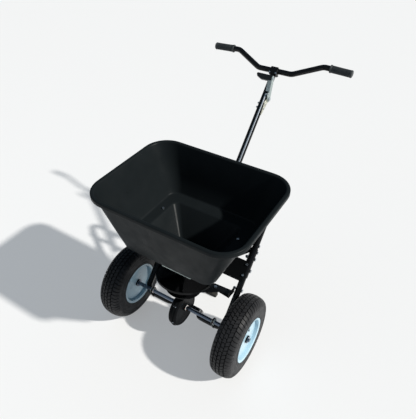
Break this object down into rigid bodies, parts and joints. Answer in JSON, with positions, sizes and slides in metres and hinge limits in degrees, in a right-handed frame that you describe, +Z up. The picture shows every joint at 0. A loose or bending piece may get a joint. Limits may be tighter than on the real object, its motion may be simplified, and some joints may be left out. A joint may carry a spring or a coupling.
{
  "type": "walk-behind broadcast spreader",
  "caption": "Push-along garden spreader: open moulded hopper on a tube frame with tyred wheels, a geared spinning disc and a lever-worked gate.",
  "frame": {"origin": "on the ground, under the middle of the whole machine's bounding box", "axes": "+Z up, +X to the walker's right along the axle, +Y back towards the walker and the handlebar"},
  "size_m": [0.622, 0.939, 0.9637],
  "materials": {
    "hopper_poly": "satin moulded polyethylene",
    "black_powder": "gloss powder coat",
    "rim_paint": "gloss white paint",
    "tyre_rubber": "blocky treaded rubber",
    "zinc_steel": "zinc plated",
    "galvanised": "galvanised strip",
    "case_poly": "moulded nylon, black",
    "gear_nylon": "moulded nylon, natural",
    "bush_nylon": "moulded nylon, white",
    "disc_poly": "satin moulded plastic",
    "grip_rubber": "ribbed soft grip",
    "paddle_poly": "glossy moulded plastic",
    "foot_rubber": "matt moulded rubber",
    "valve_rubber": "matt rubber"
  },
  "bodies": {
    "frame": {"axle_brackets": "black_powder", "axle_bushes": "bush_nylon", "bar_clamp": "black_powder", "case_and_outlet_screws": "zinc_steel", "case_bushes": "bush_nylon", "crank_bracket": "galvanised", "cross_brace": "black_powder", "frame_bolts": "zinc_steel", "gate_guides": "case_poly", "gear_case_left": "case_poly", "gear_case_right": "case_poly", "grips": "grip_rubber", "handle_post": "black_powder", "handle_screws": "zinc_steel", "handlebar": "black_powder", "hopper": "hopper_poly", "hopper_bolts": "zinc_steel", "hopper_brackets": "black_powder", "lever_bracket": "galvanised", "linkage_pivots": "zinc_steel", "lower_frame": "black_powder", "outlet_plate": "galvanised", "post_blocks": "black_powder", "rear_panel": "case_poly", "rod_guide": "case_poly", "splice_sleeves": "black_powder", "stand": "black_powder", "stand_crossbar_and_clip": "black_powder", "stand_foot": "foot_rubber", "support_plate": "black_powder", "upper_hoop": "black_powder"},
    "drive_axle": {"axle": "zinc_steel", "axle_pins": "zinc_steel", "washers": "zinc_steel", "ring_gear": "gear_nylon", "tyre_right": "tyre_rubber", "rim_outer_right": "rim_paint", "rim_inner_right": "rim_paint", "hub_tube_right": "black_powder", "hub_bushes_right": "case_poly", "valve_right": "valve_rubber"},
    "left_wheel": {"tyre_left": "tyre_rubber", "rim_outer_left": "rim_paint", "rim_inner_left": "rim_paint", "hub_tube_left": "black_powder", "hub_bushes_left": "case_poly", "valve_left": "valve_rubber"},
    "spinner": {"spinner_shaft": "zinc_steel", "pinion_gear": "gear_nylon", "spinner_disc": "disc_poly", "spinner_pin": "zinc_steel", "agitator": "zinc_steel"},
    "lever": {"control_lever": "galvanised", "lever_paddle": "paddle_poly", "paddle_screw": "zinc_steel"},
    "rod": {"control_rod": "zinc_steel"},
    "crank": {"gate_crank": "galvanised"},
    "gate": {"gate": "galvanised"}
  },
  "joints": [
    {"name": "drive_axle_spin", "type": "hinge", "parent": "frame", "child": "drive_axle", "pos_m": [0, -0.30447, 0.165], "axis": [1, 0, 0], "continuous": true},
    {"name": "left_wheel_spin", "type": "hinge", "parent": "frame", "child": "left_wheel", "pos_m": [0, -0.30447, 0.165], "axis": [1, 0, 0], "continuous": true},
    {"name": "spinner_spin", "type": "hinge", "parent": "frame", "child": "spinner", "pos_m": [0, -0.30447, 0.165], "axis": [0, 0.1736, 0.9848], "continuous": true},
    {"name": "lever_swing", "type": "hinge", "parent": "frame", "child": "lever", "pos_m": [0, 0.3379, 0.82084], "axis": [1, 0, 0], "range_deg": [0, 40]},
    {"name": "rod_slide", "type": "slide", "parent": "frame", "child": "rod", "axis": [0, -0.6947, -0.7193], "range_m": [0, 0.01779]},
    {"name": "crank_swing", "type": "hinge", "parent": "frame", "child": "crank", "pos_m": [0, -0.14361, 0.39481], "axis": [-1, 0, 0], "range_deg": [0, 40]},
    {"name": "gate_slide", "type": "slide", "parent": "frame", "child": "gate", "axis": [0, -0.9848, 0.1736], "range_m": [0, 0.026]}
  ],
  "couplings": [
    {"joint": "spinner_spin", "follows": "drive_axle_spin", "ratio": 5},
    {"joint": "rod_slide", "follows": "lever_swing", "m_per_rad": 0.025475},
    {"joint": "crank_swing", "follows": "lever_swing", "ratio": 1},
    {"joint": "gate_slide", "follows": "lever_swing", "m_per_rad": 0.037233}
  ]
}
